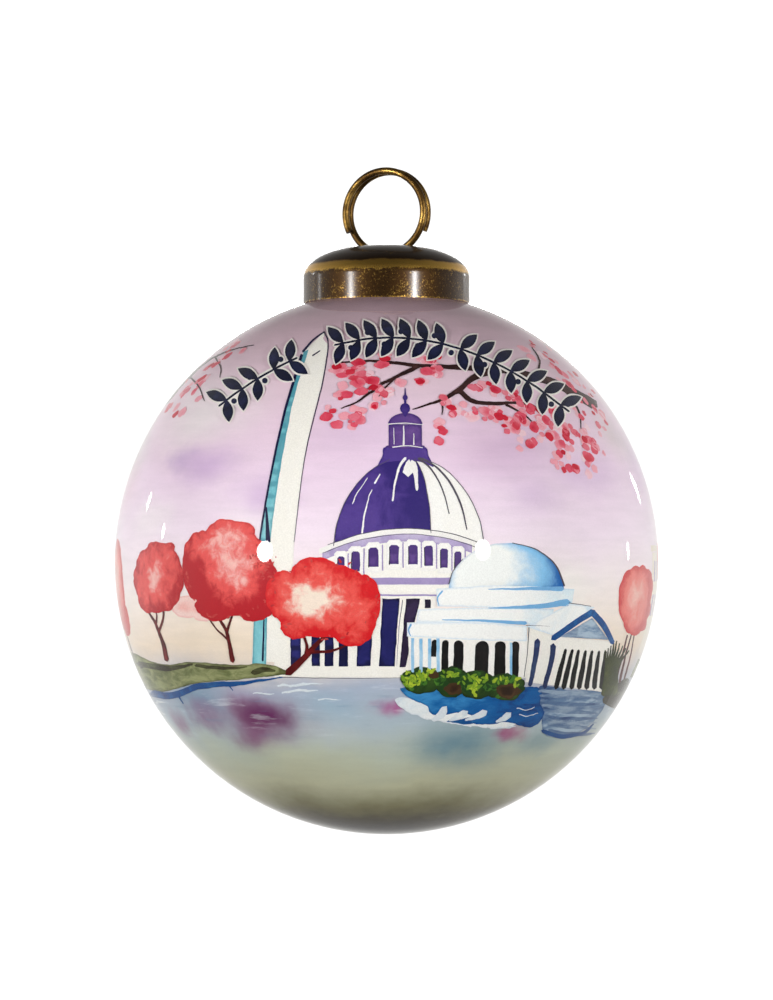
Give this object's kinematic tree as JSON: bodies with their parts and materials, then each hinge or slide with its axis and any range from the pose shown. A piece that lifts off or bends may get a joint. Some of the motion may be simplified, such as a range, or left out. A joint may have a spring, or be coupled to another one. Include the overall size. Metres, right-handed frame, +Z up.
{
  "type": "souvenir christmas ornament",
  "caption": "Hollow glass ball ornament, painted with a scene on the inside of its wall, with a domed antique brass cap and a sprung wire ring to hang it by.",
  "frame": {"origin": "hanging point: inside top of the ring, where a hook bears", "axes": "+Z up, from the ball through the cap to the ring; +Y through the ring's eye, along the hook; X across the ring"},
  "size_m": [0.08, 0.08, 0.0983],
  "materials": {
    "clear_glass": "clear blown glass, polished",
    "paint": "hand-painted watercolour film, lavender sky over pale green water",
    "cap_brass": "antique brass, dark patina rubbed back at the shoulder",
    "epoxy": "cured clear epoxy",
    "ring_brass": "antique brass wire, polished"
  },
  "bodies": {
    "ring": {"hanger_ring": "ring_brass"},
    "ornament": {"glass_ball": "clear_glass", "painted_lining": "paint", "cap_shell": "cap_brass", "adhesive_ring": "epoxy"}
  },
  "joints": [
    {"name": "ball_swing", "type": "hinge", "parent": "ring", "child": "ornament", "pos_m": [0, 0, -0.01167], "axis": [1, 0, 0], "range_deg": [-35, 35]}
  ]
}
